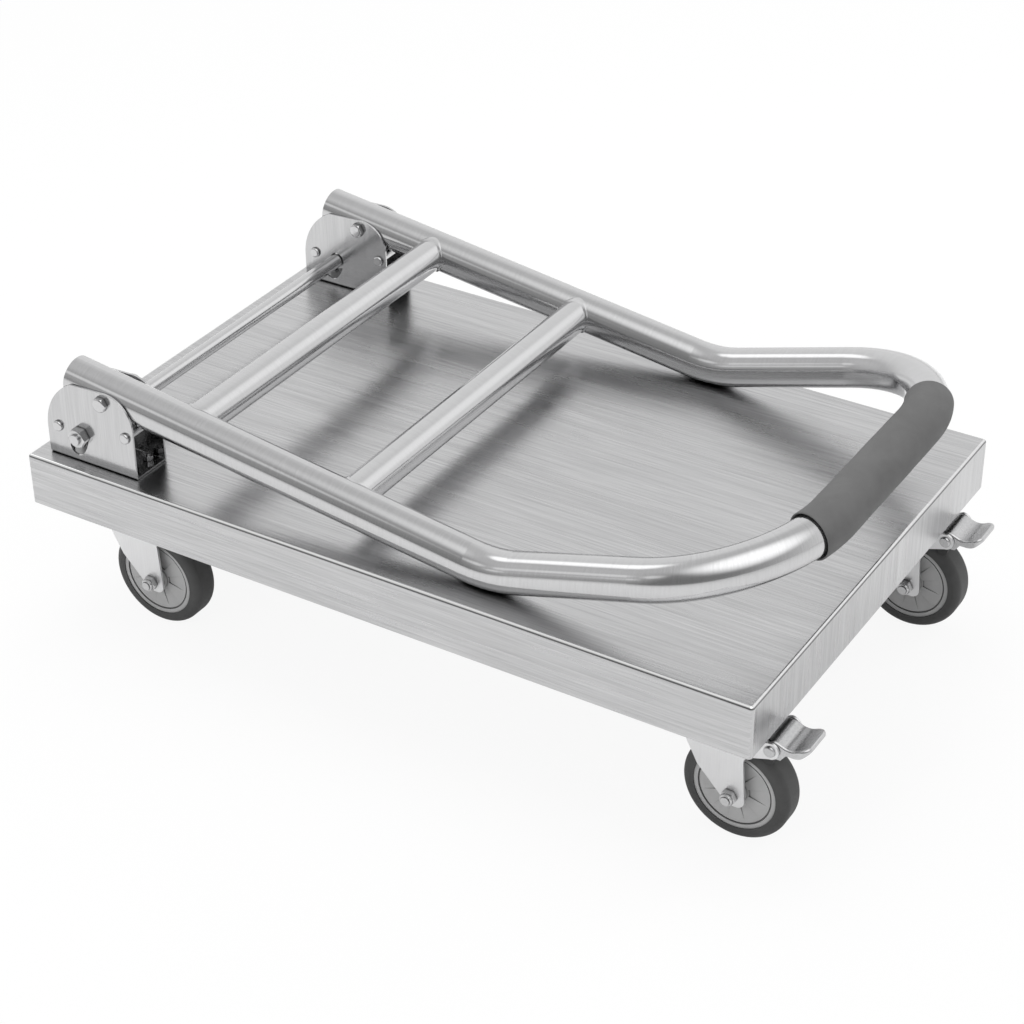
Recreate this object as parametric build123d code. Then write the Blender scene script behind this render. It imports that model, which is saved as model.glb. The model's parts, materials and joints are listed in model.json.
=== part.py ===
from build123d import *
import os
from math import asin, atan2, cos, degrees, hypot, pi, radians, sin, sqrt, tan

# Folding platform trolley in stainless steel, modelled folded flat. Millimetres.
# Z = 0 is the floor and +Z points up, +X runs from the hinge end to the free end.
# The origin is under the middle of the outer box, so the hinge end lies at -X.

# Deck
deck_length = 750.0
deck_width = 480.0
skirt_depth = 52.0
deck_sheet = 2.0
deck_edge_radius = 3.5

# Clearances
seat_gap = 0.3
pin_gap = 0.05
bolt_gap = 0.3
cut_past = 1.0

# Casters, measured from the swivel axis
caster_height = 128.0
wheel_radius = 50.0
caster_trail = 33.4
swivel_end_inset = 68.3
swivel_side_inset = 60.0
plate_length = 105.0
plate_width = 85.0
plate_sheet = 3.0
plate_corner = 12.0
plate_bolt_x = 40.0
plate_bolt_y = 30.0
race_radius = 30.0
race_wall = 6.0
race_height = 5.3
kingpin_radius = 6.0
kingpin_head = 10.0
kingpin_head_height = 4.0
kingpin_foot = 13.0
kingpin_foot_height = 6.0
kingpin_foot_rim = 1.5
kingpin_chamfer = 1.2

# Fork
fork_half_width = 22.0
fork_sheet = 2.5
fork_bend = 2.0
crown_sheet = 3.0
crown_radius = 31.0
crown_rim = 2.3
crown_rim_rise = 4.0
cheek_top_front = 22.0
cheek_knee_x = 2.0
cheek_knee_rise = 22.0
cheek_foot_left = 31.2
cheek_foot_right = 47.3
cheek_foot_drop = 9.5
cheek_foot_round = 7.2
cheek_back = 43.9
cheek_back_drop = 21.0
cheek_back_lean = 1.0
cheek_bend = 9.0
shelf_drop = 3.0
shelf_step = 3.0
ear_radius = 8.0
ear_rise = 2.0

# Wheel
tyre_half_width = 14.0
tyre_shoulder = 7.0
core_radius = 38.7
core_half_width = 13.0
core_groove_outer = 34.7
core_groove_inner = 33.2
core_groove_depth = 1.8
disc_half_width = 12.3
pocket_inner = 13.2
pocket_outer = 30.6
pocket_depth = 1.2
pocket_count = 6
pocket_phase = -5.0
hub_radius = 11.5
hub_half_width = 16.5
bush_radius = 7.0
axle_radius = 4.0

# Brake pedal, measured from the swivel axis and, upwards, from its rivet
pedal_pivot_x = 67.3
pedal_pivot_drop = 5.4
pedal_half_width = 19.0
pedal_sheet = 2.0
pedal_heel = 57.0
pedal_heel_rise = 5.2
pedal_crest_x = 68.0
pedal_crest_rise = 9.5
pedal_dip_x = 83.5
pedal_dip_rise = 3.5
pedal_tip = 100.8
pedal_tip_rise = 11.5
pedal_rim = 2.4
pedal_lip = 5.0
pedal_lip_x = 92.0
pedal_bend = 14.0
pedal_skirt_x = 80.7
pedal_lobe_x = 76.0
pedal_skirt_cut = 4.0
pedal_tip_corner = 8.0
pedal_rivet_radius = 3.0
pedal_rivet_head = 5.2
pedal_rivet_height = 2.2
pedal_rivet_round = 1.8
pedal_travel = 15.0
shoe_root = 6.0
shoe_lobe = 4.5

# Hinge brackets, from the hinge-end face of the deck and from the deck top
bracket_side_inset = 37.0
bracket_start = 16.3
bracket_length = 101.0
bracket_sheet = 2.0
bracket_gap = 39.0
bracket_bend = 3.0
bracket_front_radius = 60.0
bracket_front_z = 27.0
bracket_front_cut = 32.5
bracket_back_radius = 30.0
bracket_height = 82.0
pivot_x = 84.3
pivot_z = 71.3
stop_x = 108.5
stop_z = 42.5
spring_pin_x = 29.5
spring_pin_z = 32.0
guide_sleeve_radius = 4.0
bracket_bolt_inset = 13.0
bracket_bolt_side = 11.5

# Lock bar, which swings on the spring pins
bar_radius = 7.0
bar_x = 56.0
bar_z = 29.3
bar_low_x = 50.0
bar_low_z = 14.5
slot_gap = 1.2
bar_thread_radius = 5.0
bar_thread_end = 10.5
latch_arm_sheet = 2.0
latch_arm_radius = 10.0
spring_wire = 1.0
spring_pitch = 3.0
spring_turns = 3
spring_samples = 400
spring_start = -8.0
spring_lower_slope = -53.0
spring_upper_leg = 31.0

# Handle
tube_radius = 19.0
tube_wall = 1.5
tail_length = 46.0
lower_length = 381.5
kink_radius = 112.0
upper_slope = 16.2
upper_length = 121.0
corner_radius = 120.0
rung_radius = 16.0
rung_low = 83.0
rung_high = 253.0
weld_size = 1.8
grip_wall = 3.0
grip_length = 250.0
grip_shift = 5.0
pivot_sleeve_radius = 7.0

# Rails under the deck
rail_width = 106.0
rail_sheet = 2.5
rail_lip = 26.0
rail_bend = 4.0
rail_end_gap = 4.0
hat_width = 80.0
hat_height = 30.0
hat_flange = 20.0
hat_sheet = 2.0

# Threads
m6_radius = 3.0
m6_flats = 10.0
m6_head = 4.0
m6_nut = 5.2
m6_button_radius = 5.2
m6_button_head = 3.0
m6_button_rim = 1.6
m8_radius = 4.0
m8_flats = 13.0
m8_head = 5.3
m8_nut = 6.5
pivot_head_rim = 2.6
thread_past = 1.2
hex_turned_in = 0.2
hex_chamfer = 30.0
lock_nut_height = 8.0
lock_nut_collar = 2.5
lock_nut_step = 0.5
lock_nut_round = 1.2
m10_flats = 17.0
m10_nut = 8.0

# Derived places
deck_height = caster_height + skirt_depth
overall_length = deck_length - swivel_end_inset + pedal_tip
hinge_end = -overall_length / 2
free_end = hinge_end + deck_length
rail_top = deck_height - deck_sheet
swivel_x = (hinge_end + swivel_end_inset, free_end - swivel_end_inset)
swivel_side = deck_width / 2 - swivel_side_inset
bracket_side = deck_width / 2 - bracket_side_inset
race_bottom = caster_height - plate_sheet - race_height
crown_top = race_bottom - seat_gap
crown_bottom = crown_top - crown_sheet
axle_z = wheel_radius
pedal_pivot_z = crown_bottom - pedal_pivot_drop
fork_inner = fork_half_width - fork_sheet
bracket_inner = bracket_gap / 2
bracket_outer = bracket_inner + bracket_sheet
base_top = deck_height + bracket_sheet
tail_reach = hypot(tail_length, tube_radius)


def along(distance):
    return hinge_end + distance


def above(height):
    return deck_height + height


pivot = (along(pivot_x), above(pivot_z))
stop = (along(stop_x), above(stop_z))
spring_pin = (along(spring_pin_x), above(spring_pin_z))
bar = (along(bar_x), above(bar_z))

# The slope that lets the kink just clear the deck, from the pivot's height
drop = pivot_z - tube_radius - seat_gap
reach = hypot(lower_length, kink_radius)
lower_slope = degrees(asin((drop - kink_radius) / reach) + atan2(kink_radius, lower_length))

# The swing of the lock bar about the spring pin
bar_arm = hypot(bar_x - spring_pin_x, bar_z - spring_pin_z)
bar_up = degrees(atan2(bar_z - spring_pin_z, bar_x - spring_pin_x))
bar_down = degrees(atan2(bar_low_z - spring_pin_z, bar_low_x - spring_pin_x))


def pin_y(x, z, radius, y_from, y_to):
    # A round pin along Y
    length = y_to - y_from
    middle = (y_to + y_from) / 2
    return Pos(x, middle, z) * Rot(90, 0, 0) * Cylinder(radius, length)


def hex_y(x, z, flats, y_from, y_to):
    # A hexagon along Y, with its corners turned off at the outer end
    height = abs(y_to - y_from)
    prism = extrude(RegularPolygon(flats / 2, 6, major_radius=False), height)
    face_radius = flats / 2 - hex_turned_in
    cone = Cone(face_radius + height / tan(radians(hex_chamfer)), face_radius, height,
                align=(Align.CENTER, Align.CENTER, Align.MIN))
    turn = 90 if y_to < y_from else -90
    return Pos(x, y_from, z) * Rot(turn, 0, 0) * (prism & cone)


def round_head(x, z, radius, y_from, y_to, rim):
    # A low head along Y with its outer rim rounded over
    head = pin_y(x, z, radius, *sorted((y_from, y_to)))
    return fillet(head.edges().sort_by(Axis.Y)[-1 if y_to > y_from else 0], rim)


def hex_z(x, y, flats, z_from, z_to):
    # A plain hexagon along Z
    prism = extrude(RegularPolygon(flats / 2, 6, major_radius=False), abs(z_to - z_from))
    return Pos(x, y, min(z_from, z_to)) * prism


def pin_z(x, y, radius, z_from, z_to):
    return Pos(x, y, (z_from + z_to) / 2) * Cylinder(radius, abs(z_to - z_from))


def side_face(*lines):
    # A closed outline drawn in X and Z
    return Plane.XZ * make_face(Curve() + [line for line in lines])


def side_prism(face, y_from, y_to):
    return Pos(0, y_from, 0) * extrude(face, -(y_to - y_from))


def bracket_bolt_places():
    start = bracket_start + bracket_bolt_inset
    end = bracket_start + bracket_length - bracket_bolt_inset
    places = []
    for side in (-bracket_side, bracket_side):
        for x in (along(start), along(end)):
            for y in (side - bracket_bolt_side, side + bracket_bolt_side):
                places.append((x, y))
    return places


def caster_bolt_places():
    places = []
    for x in swivel_x:
        for y in (-swivel_side, swivel_side):
            for dx in (-plate_bolt_x, plate_bolt_x):
                for dy in (-plate_bolt_y, plate_bolt_y):
                    places.append((x + dx, y + dy))
    return places


def deck_pan():
    middle = (hinge_end + free_end) / 2
    outer = Pos(middle, 0, deck_height - skirt_depth / 2) * Box(deck_length, deck_width, skirt_depth)
    outer = fillet(outer.edges().group_by(Axis.Z)[-1] + outer.edges().filter_by(Axis.Z), deck_edge_radius)
    inner_depth = skirt_depth - deck_sheet
    inner = Pos(middle, 0, rail_top - inner_depth / 2) * Box(
        deck_length - 2 * deck_sheet, deck_width - 2 * deck_sheet, inner_depth)
    inner = fillet(inner.edges().group_by(Axis.Z)[-1] + inner.edges().filter_by(Axis.Z),
                   deck_edge_radius - deck_sheet)
    pan = outer - inner
    for x, y in bracket_bolt_places():
        pan -= pin_z(x, y, m6_radius + bolt_gap, rail_top - cut_past, deck_height + cut_past)
    return pan


def lipped_rail(x):
    # A channel that opens downwards between two lips, which carry the caster plates
    height = rail_top - caster_height
    outline = Rectangle(rail_width, height)
    outline = fillet(outline.vertices(), rail_bend)
    hollow = Rectangle(rail_width - 2 * rail_sheet, height - 2 * rail_sheet)
    hollow = fillet(hollow.vertices(), rail_bend - rail_sheet)
    mouth = Pos(0, -height / 2) * Rectangle(rail_width - 2 * rail_lip, 3 * rail_sheet)
    section = outline - hollow - mouth
    length = deck_width - 2 * (deck_sheet + rail_end_gap)
    rail = extrude(Plane.XZ * section, length / 2, both=True)
    rail = Pos(x, 0, caster_height + height / 2) * rail
    for bx, by in caster_bolt_places():
        lip_top = caster_height + rail_sheet
        rail -= pin_z(bx, by, m8_radius + bolt_gap, caster_height - cut_past, lip_top + cut_past)
    for bx, by in bracket_bolt_places():
        web_low = rail_top - rail_sheet
        rail -= pin_z(bx, by, m6_radius + bolt_gap, web_low - cut_past, rail_top + cut_past)
    return rail


def centre_stiffener():
    # A hat section under the middle of the deck, between the two rails
    start = swivel_x[0] + rail_width / 2 + seat_gap
    end = swivel_x[1] - rail_width / 2 - seat_gap
    half = hat_width / 2
    outline = Polyline((-half - hat_flange, 0), (half + hat_flange, 0), (half + hat_flange, -hat_sheet),
                       (half, -hat_sheet), (half, -hat_height), (-half, -hat_height),
                       (-half, -hat_sheet), (-half - hat_flange, -hat_sheet), close=True)
    section = make_face(outline)
    section -= Pos(0, -(hat_height - hat_sheet) / 2) * Rectangle(
        hat_width - 2 * hat_sheet, hat_height - hat_sheet)
    hat = extrude(Plane.YZ * section, end - start)
    return Pos(start, 0, rail_top) * hat


def slot_cutter(y_from, y_to):
    # The curved slot that the bar runs in, round the spring pin
    width = bar_radius + slot_gap
    up = radians(bar_up)
    down = radians(bar_down)
    half = (up + down) / 2

    def point(radius, angle):
        return (spring_pin[0] + radius * cos(angle), spring_pin[1] + radius * sin(angle))

    outer = ThreePointArc(point(bar_arm + width, up), point(bar_arm + width, half),
                          point(bar_arm + width, down))
    inner = ThreePointArc(point(bar_arm - width, down), point(bar_arm - width, half),
                          point(bar_arm - width, up))
    ends = [Line(outer @ 1, inner @ 0), Line(inner @ 1, outer @ 0)]
    slot = side_prism(side_face(outer, ends[0], inner, ends[1]), y_from, y_to)
    for angle in (up, down):
        x, z = point(bar_arm, angle)
        slot += pin_y(x, z, width, y_from, y_to)
    return slot


def cheek_outline():
    left = along(bracket_start)
    right = along(bracket_start + bracket_length)
    front_centre = left + bracket_front_radius
    cut = along(bracket_start + bracket_front_cut)
    cut_z = above(bracket_front_z) + sqrt(bracket_front_radius ** 2 - (front_centre - cut) ** 2)
    turn = (pi + atan2(cut_z - above(bracket_front_z), cut - front_centre)) / 2
    front_mid = (front_centre + bracket_front_radius * cos(turn),
                 above(bracket_front_z) + bracket_front_radius * sin(turn))
    top = above(bracket_height)
    back_centre = (right - bracket_back_radius, top - bracket_back_radius)
    back_mid = (back_centre[0] + bracket_back_radius * cos(pi / 4),
                back_centre[1] + bracket_back_radius * sin(pi / 4))
    return side_face(
        Line((left, deck_height), (left, above(bracket_front_z))),
        ThreePointArc((left, above(bracket_front_z)), front_mid, (cut, cut_z)),
        Line((cut, cut_z), (back_centre[0], top)),
        ThreePointArc((back_centre[0], top), back_mid, (right, back_centre[1])),
        Line((right, back_centre[1]), (right, deck_height)),
        Line((right, deck_height), (left, deck_height)))


def hinge_bracket(side):
    block = side_prism(cheek_outline(), -bracket_outer, bracket_outer)
    height = 2 * bracket_height
    section = Rectangle(2 * bracket_outer, height)
    section = fillet(section.vertices().group_by(Axis.Y)[0], bracket_bend)
    channel = Pos(0, bracket_sheet) * Rectangle(2 * bracket_inner, height)
    channel = fillet(channel.vertices().group_by(Axis.Y)[0], bracket_bend - bracket_sheet)
    section -= channel
    middle = along(bracket_start + bracket_length / 2)
    bent = Pos(middle, 0, deck_height + height / 2) * extrude(Plane.YZ * section, bracket_length, both=True)
    bracket = block & bent
    reach_y = bracket_outer + cut_past
    for x, z in (stop, spring_pin):
        bracket -= pin_y(x, z, m6_radius + pin_gap, -reach_y, reach_y)
    bracket -= pin_y(*pivot, m8_radius + pin_gap, -reach_y, reach_y)
    bracket -= slot_cutter(-reach_y, reach_y)
    bracket = Pos(0, side, 0) * bracket
    for x, y in bracket_bolt_places():
        bracket -= pin_z(x, y, m6_radius + bolt_gap, deck_height - cut_past, base_top + cut_past)
    return bracket


def bracket_bolts():
    # Heads under the rail's web, threads up through rail, deck and bracket
    bolts = []
    head_top = rail_top - rail_sheet
    for x, y in bracket_bolt_places():
        bolt = hex_z(x, y, m6_flats, head_top, head_top - m6_head)
        bolt += pin_z(x, y, m6_radius, head_top, base_top + m6_nut + thread_past)
        bolts.append(bolt)
    return Compound(children=bolts)


def m6_nuts():
    nuts = []
    for x, y in bracket_bolt_places():
        nut = hex_z(x, y, m6_flats, base_top, base_top + m6_nut)
        bore = (base_top - cut_past, base_top + m6_nut + cut_past)
        nuts.append(nut - pin_z(x, y, m6_radius + pin_gap, *bore))
    for side in (-bracket_side, bracket_side):
        for x, z in (stop, spring_pin):
            face = side + bracket_outer
            nut = hex_y(x, z, m6_flats, face, face + m6_nut)
            bore = (face - cut_past, face + m6_nut + cut_past)
            nuts.append(nut - pin_y(x, z, m6_radius + pin_gap, *bore))
    return Compound(children=nuts)


def guide_bolts():
    # One stop bolt and one spring bolt across each bracket
    bolts = []
    for side in (-bracket_side, bracket_side):
        for x, z in (stop, spring_pin):
            face = side - bracket_outer
            bolt = round_head(x, z, m6_button_radius, face, face - m6_button_head, m6_button_rim)
            bolt += pin_y(x, z, m6_radius, face, side + bracket_outer + m6_nut + thread_past)
            bolts.append(bolt)
    return Compound(children=bolts)


def guide_sleeves():
    sleeves = []
    half = bracket_inner - seat_gap / 2
    for side in (-bracket_side, bracket_side):
        for x, z in (stop, spring_pin):
            sleeve = pin_y(x, z, guide_sleeve_radius, side - half, side + half)
            bore = (side - half - cut_past, side + half + cut_past)
            sleeves.append(sleeve - pin_y(x, z, m6_radius + pin_gap, *bore))
    return Compound(children=sleeves)


def pivot_bolts():
    # Hexagon heads whose corners are domed over
    bolts = []
    corner = m8_flats / 2 / cos(pi / 6)
    for side in (-bracket_side, bracket_side):
        face = side - bracket_outer
        bolt = hex_y(*pivot, m8_flats, face, face - m8_head)
        bolt &= round_head(*pivot, corner, face, face - m8_head, pivot_head_rim)
        bolt += pin_y(*pivot, m8_radius, face, side + bracket_outer + m8_nut + thread_past)
        bolts.append(bolt)
    return Compound(children=bolts)


def lock_nut_y(x, z, y_from, direction):
    # A hexagon with a round nylon collar at its outer end
    hex_part = lock_nut_height - lock_nut_collar
    outer = y_from + direction * lock_nut_height
    nut = hex_y(x, z, m8_flats, y_from, y_from + direction * hex_part)
    collar = pin_y(x, z, m8_flats / 2 - lock_nut_step, *sorted((y_from, outer)))
    collar = fillet(collar.edges().sort_by(Axis.Y)[-1 if direction > 0 else 0], lock_nut_round)
    nut += collar
    bore = sorted((y_from - direction * cut_past, outer + direction * cut_past))
    return nut - pin_y(x, z, m8_radius + pin_gap, *bore)


def m8_nuts():
    nuts = []
    for side in (-bracket_side, bracket_side):
        face = side + bracket_outer
        nut = hex_y(*pivot, m8_flats, face, face + m8_nut)
        bore = (face - cut_past, face + m8_nut + cut_past)
        nuts.append(nut - pin_y(*pivot, m8_radius + pin_gap, *bore))
    seat = caster_height + rail_sheet
    for x, y in caster_bolt_places():
        nut = hex_z(x, y, m8_flats, seat, seat + m8_nut)
        bore = (seat - cut_past, seat + m8_nut + cut_past)
        nuts.append(nut - pin_z(x, y, m8_radius + pin_gap, *bore))
    return Compound(children=nuts)


def caster_bolts():
    bolts = []
    seat = caster_height - plate_sheet
    for x, y in caster_bolt_places():
        bolt = hex_z(x, y, m8_flats, seat, seat - m8_head)
        bolt += pin_z(x, y, m8_radius, seat, caster_height + rail_sheet + m8_nut + thread_past)
        bolts.append(bolt)
    return Compound(children=bolts)


def at_swivels(shape):
    # One copy of a shape at each of the four swivel axes
    return Compound(children=[Pos(x, y, 0) * shape for x in swivel_x for y in (-swivel_side, swivel_side)])


def caster_plate():
    # Drawn round the swivel axis, as are all the caster's pieces
    under = caster_height - plate_sheet
    plate = Pos(0, 0, under) * extrude(
        RectangleRounded(plate_length, plate_width, plate_corner), plate_sheet)
    plate += pin_z(0, 0, race_radius, race_bottom, under)
    plate -= pin_z(0, 0, race_radius - race_wall, race_bottom - cut_past, under)
    for dx in (-plate_bolt_x, plate_bolt_x):
        for dy in (-plate_bolt_y, plate_bolt_y):
            plate -= pin_z(dx, dy, m8_radius + bolt_gap, under - cut_past, caster_height + cut_past)
    return plate - pin_z(0, 0, kingpin_radius + pin_gap, race_bottom - cut_past, caster_height + cut_past)


def kingpin():
    foot_top = crown_bottom - seat_gap
    head = pin_z(0, 0, kingpin_head, caster_height, caster_height + kingpin_head_height)
    head = chamfer(head.edges().group_by(Axis.Z)[-1], kingpin_chamfer)
    foot = pin_z(0, 0, kingpin_foot, foot_top - kingpin_foot_height, foot_top)
    foot = fillet(foot.edges().group_by(Axis.Z)[0], kingpin_foot_height - kingpin_foot_rim)
    return head + foot + pin_z(0, 0, kingpin_radius, foot_top - cut_past, caster_height + cut_past)


def ball_ring():
    # Stands in for the ring of balls between the plate and the fork
    outer = race_radius - race_wall - seat_gap
    ring = pin_z(0, 0, outer, race_bottom, caster_height - plate_sheet)
    return ring - pin_z(0, 0, outer - race_wall, race_bottom - cut_past, caster_height)


def cheek_side(braked):
    # The side of the fork: a slanted front edge, a rounded foot and, with a brake, an ear
    front = (-cheek_top_front, crown_top)
    knee = (cheek_knee_x, axle_z + cheek_knee_rise)
    foot_left = (cheek_foot_left, axle_z - cheek_foot_drop)
    foot_right = (cheek_foot_right, axle_z - cheek_foot_drop)
    back = (cheek_back, crown_bottom - cheek_back_drop)
    shelf = crown_bottom - shelf_drop
    if braked:
        outside = [(pedal_pivot_x, pedal_pivot_z - ear_radius), (pedal_pivot_x, pedal_pivot_z + ear_rise),
                   (pedal_pivot_x - ear_radius, shelf)]
    else:
        outside = [(cheek_back - cheek_back_lean, shelf)]
    under_crown = [(crown_radius + shelf_step, shelf), (crown_radius - shelf_step, crown_top)]
    points = [front, knee, foot_left, foot_right, back] + outside + under_crown
    side = make_face(Polyline(*points, close=True))
    corners = side.vertices()

    def near(point):
        return corners.sort_by_distance((point[0], point[1], 0))[0]

    side = fillet([near(foot_left), near(foot_right)], cheek_foot_round)
    corners = side.vertices()
    side = fillet([near(knee), near(back)], cheek_bend)
    if braked:
        side += Pos(pedal_pivot_x, pedal_pivot_z) * Circle(ear_radius)
    return side


def fork(braked):
    # Bent sheet under the crown, and plain cheeks from the crown's edge outwards
    section = Pos(0, crown_top / 2) * Rectangle(2 * fork_half_width, crown_top)
    section = fillet(section.vertices().group_by(Axis.Y)[-1], fork_sheet + fork_bend)
    channel = Pos(0, crown_top / 2 - crown_sheet) * Rectangle(2 * fork_inner, crown_top)
    channel = fillet(channel.vertices().group_by(Axis.Y)[-1], fork_bend)
    crown_edge = crown_radius + shelf_step
    bent = Pos(-crown_edge, 0, 0) * extrude(Plane.YZ * (section - channel), 2 * crown_edge)
    plates = Pos(crown_edge, 0, 0) * Box(
        pedal_tip, 2 * fork_half_width, caster_height, align=(Align.MIN, Align.CENTER, Align.MIN))
    plates -= Box(2 * pedal_tip, 2 * fork_inner, 3 * caster_height)
    block = extrude(Plane.XZ * cheek_side(braked), fork_half_width, both=True)
    body = (bent & block) + (plates & block)
    body += pin_z(0, 0, crown_radius + crown_rim, crown_bottom, crown_top + crown_rim_rise)
    body -= pin_z(0, 0, crown_radius, crown_top, crown_top + crown_rim_rise + cut_past)
    body -= pin_z(0, 0, kingpin_radius + pin_gap, crown_bottom - cut_past, crown_top + cut_past)
    reach_y = fork_half_width + cut_past
    body -= pin_y(caster_trail, axle_z, axle_radius + pin_gap, -reach_y, reach_y)
    if braked:
        body -= pin_y(pedal_pivot_x, pedal_pivot_z, pedal_rivet_radius + pin_gap, -reach_y, reach_y)
    return body


def axle_bolt():
    bolt = hex_y(caster_trail, axle_z, m8_flats, fork_half_width, fork_half_width + m8_head)
    thread_end = -fork_half_width - lock_nut_height - thread_past
    return bolt + pin_y(caster_trail, axle_z, axle_radius, thread_end, fork_half_width + cut_past)


def axle_nut():
    return lock_nut_y(caster_trail, axle_z, -fork_half_width, -1)


def wheel_core():
    core = pin_y(0, 0, core_radius, -core_half_width, core_half_width)
    for sign in (-1, 1):
        face = sign * core_half_width
        disc_face = sign * disc_half_width
        groove_floor = face - sign * core_groove_depth
        past = face + sign * cut_past
        core -= pin_y(0, 0, core_groove_inner, *sorted((disc_face, past)))
        groove = pin_y(0, 0, core_groove_outer, *sorted((groove_floor, past)))
        core -= groove - pin_y(0, 0, core_groove_inner, *sorted((groove_floor, past)))
        pocket = pocket_wedge(sign)
        for index in range(pocket_count):
            core -= Rot(0, pocket_phase + index * 360 / pocket_count, 0) * pocket
    core += pin_y(0, 0, hub_radius, -hub_half_width, hub_half_width)
    reach_y = hub_half_width + cut_past
    return core - pin_y(0, 0, bush_radius + pin_gap, -reach_y, reach_y)


def pocket_wedge(sign):
    # One sunk panel of the wheel disc, half as wide as its pitch, with a floor
    # that rises outwards to the disc's face
    disc_face = sign * disc_half_width
    floor = disc_face - sign * pocket_depth
    past = sign * (core_half_width + cut_past)
    profile = make_face(Polyline(
        (pocket_inner, floor), (pocket_outer, disc_face), (pocket_outer, past), (pocket_inner, past),
        close=True))
    spread = 360 / pocket_count / 2
    return Rot(0, -spread / 2, 0) * revolve(profile, Axis.Y, spread)


def tyre():
    ring = pin_y(0, 0, wheel_radius, -tyre_half_width, tyre_half_width)
    ring = fillet(ring.edges(), tyre_shoulder)
    reach_y = tyre_half_width + cut_past
    return ring - pin_y(0, 0, core_radius + pin_gap, -reach_y, reach_y)


def wheel_bush():
    half = fork_inner - seat_gap
    bore = pin_y(0, 0, axle_radius + pin_gap, -half - cut_past, half + cut_past)
    return pin_y(0, 0, bush_radius, -half, half) - bore


def pedal_top(lowered, tip):
    # The pedal's crest and dip, seen from the side
    zero = pedal_pivot_z - lowered
    return [(pedal_heel, zero + pedal_heel_rise), (pedal_crest_x, zero + pedal_crest_rise),
            (pedal_dip_x, zero + pedal_dip_rise), (tip, zero + pedal_tip_rise)]


def pedal_outline(top, below, bends):
    face = make_face(Polyline(*(top + below), close=True))
    corners = face.vertices()
    return fillet([corners.sort_by_distance((*point, 0))[0] for point in bends], pedal_bend)


def pedal_slab(side, inset):
    # The side outline, cut to the pedal's plan with its rounded tip corners
    half = pedal_half_width - inset
    plan = Pos(pedal_tip - inset, 0) * Rectangle(pedal_tip, 2 * half, align=(Align.MAX, Align.CENTER))
    plan = fillet(plan.vertices().group_by(Axis.X)[-1], pedal_tip_corner - inset)
    return extrude(Plane.XZ * side, half, both=True) & extrude(plan, caster_height)


def brake_pedal():
    # A pressed tread with a rounded rim, side skirts round the rivet and a lip round the tip
    low = pedal_pivot_z - ear_radius
    lip_low = pedal_pivot_z + pedal_dip_rise - pedal_lip
    top = pedal_top(0, pedal_tip)
    below = [(pedal_tip, top[-1][1] - pedal_lip), (pedal_lip_x, lip_low), (pedal_skirt_x, lip_low),
             (pedal_lobe_x, low), (pedal_heel + pedal_skirt_cut, low), (pedal_heel, low + pedal_skirt_cut)]
    solid = pedal_slab(pedal_outline(top, below, [top[1], top[2], below[1]]), 0)
    rim = []
    for face in solid.faces():
        normal = face.normal_at()
        if normal.Z > hypot(normal.X, normal.Y):
            rim += [edge for edge in face.edges()
                    if abs(edge.center().Y) > pedal_sheet or edge.center().X > pedal_tip - pedal_sheet]
    solid = fillet(rim, pedal_rim)
    past_heel = pedal_heel - ear_radius
    top = pedal_top(pedal_sheet, pedal_tip - pedal_sheet)
    inside = [(top[-1][0], 0), (past_heel, 0), (past_heel, top[0][1])]
    solid -= pedal_slab(pedal_outline(top, inside, [top[1], top[2]]), pedal_sheet)
    reach_y = pedal_half_width + cut_past
    return solid - pin_y(pedal_pivot_x, pedal_pivot_z, pedal_rivet_radius + pin_gap, -reach_y, reach_y)


def brake_shoe():
    # A cam on the pedal's rivet whose lobe meets the tread when the pedal is down
    dx = caster_trail - pedal_pivot_x
    dz = axle_z - pedal_pivot_z
    reach = hypot(dx, dz) - wheel_radius - seat_gap - shoe_lobe
    direction = atan2(dz, dx) + radians(pedal_travel)
    half = pedal_half_width - pedal_sheet - seat_gap
    lobe = (pedal_pivot_x + reach * cos(direction), pedal_pivot_z + reach * sin(direction))
    body = pin_y(pedal_pivot_x, pedal_pivot_z, shoe_root, -half, half)
    body += pin_y(*lobe, shoe_lobe, -half, half)
    side = (-sin(direction), cos(direction))
    web = [(pedal_pivot_x + side[0] * shoe_lobe, pedal_pivot_z + side[1] * shoe_lobe),
           (lobe[0] + side[0] * shoe_lobe, lobe[1] + side[1] * shoe_lobe),
           (lobe[0] - side[0] * shoe_lobe, lobe[1] - side[1] * shoe_lobe),
           (pedal_pivot_x - side[0] * shoe_lobe, pedal_pivot_z - side[1] * shoe_lobe)]
    body += extrude(Plane.XZ * make_face(Polyline(*web, close=True)), half, both=True)
    reach_y = half + cut_past
    return body - pin_y(pedal_pivot_x, pedal_pivot_z, pedal_rivet_radius + pin_gap, -reach_y, reach_y)


def pedal_rivet():
    reach_y = fork_half_width + cut_past
    rivet = pin_y(pedal_pivot_x, pedal_pivot_z, pedal_rivet_radius, -reach_y, reach_y)
    for sign in (-1, 1):
        ends = (sign * fork_half_width, sign * (fork_half_width + pedal_rivet_height))
        rivet += round_head(pedal_pivot_x, pedal_pivot_z, pedal_rivet_head, *ends, pedal_rivet_round)
    return rivet


def lock_bar():
    # One round bar through all four cheeks, cut away inside the brackets
    # along the circle that the handle's tail sweeps
    end = bracket_side + bracket_outer + seat_gap
    bar_solid = pin_y(*bar, bar_radius, -end, end)
    bar_solid += pin_y(*bar, bar_thread_radius, -end - bar_thread_end, end + bar_thread_end)
    for side in (-bracket_side, bracket_side):
        bar_solid -= pin_y(*pivot, tail_reach + seat_gap, side - bracket_inner, side + bracket_inner)
    return bar_solid


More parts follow.
